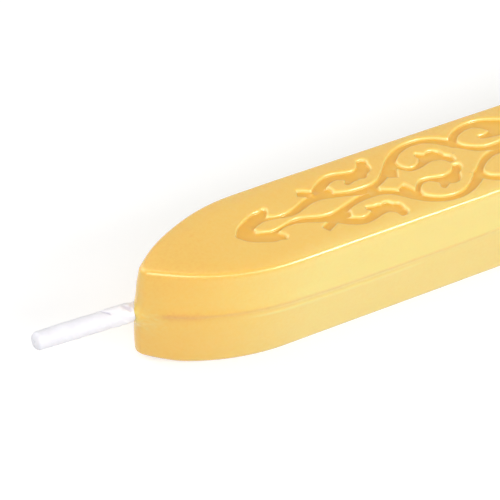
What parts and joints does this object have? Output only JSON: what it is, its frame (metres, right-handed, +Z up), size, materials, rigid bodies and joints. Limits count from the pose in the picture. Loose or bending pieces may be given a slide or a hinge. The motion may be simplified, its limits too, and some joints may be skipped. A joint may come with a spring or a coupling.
{
  "type": "sealing wax stick",
  "caption": "Moulded bar of sealing wax with a pointed nose, sunk scrollwork on its top face and a cast-in wick that is lit to drip wax for a seal.",
  "frame": {"origin": "middle of the flat underside of the wax bar, halfway along its length", "axes": "+X along the stick from the wick end to the square butt, +Y across it, +Z up through the face with the scrollwork"},
  "size_m": [0.0998, 0.011, 0.011],
  "materials": {
    "sealing_wax": "pearly satin, as moulded",
    "priming_wax": "dipped wax coat, slightly rough",
    "wick_cotton": "twisted cotton, cut end"
  },
  "bodies": {
    "root": {"wax_body": "sealing_wax", "wick_priming": "priming_wax", "wick_core": "wick_cotton"}
  },
  "joints": []
}
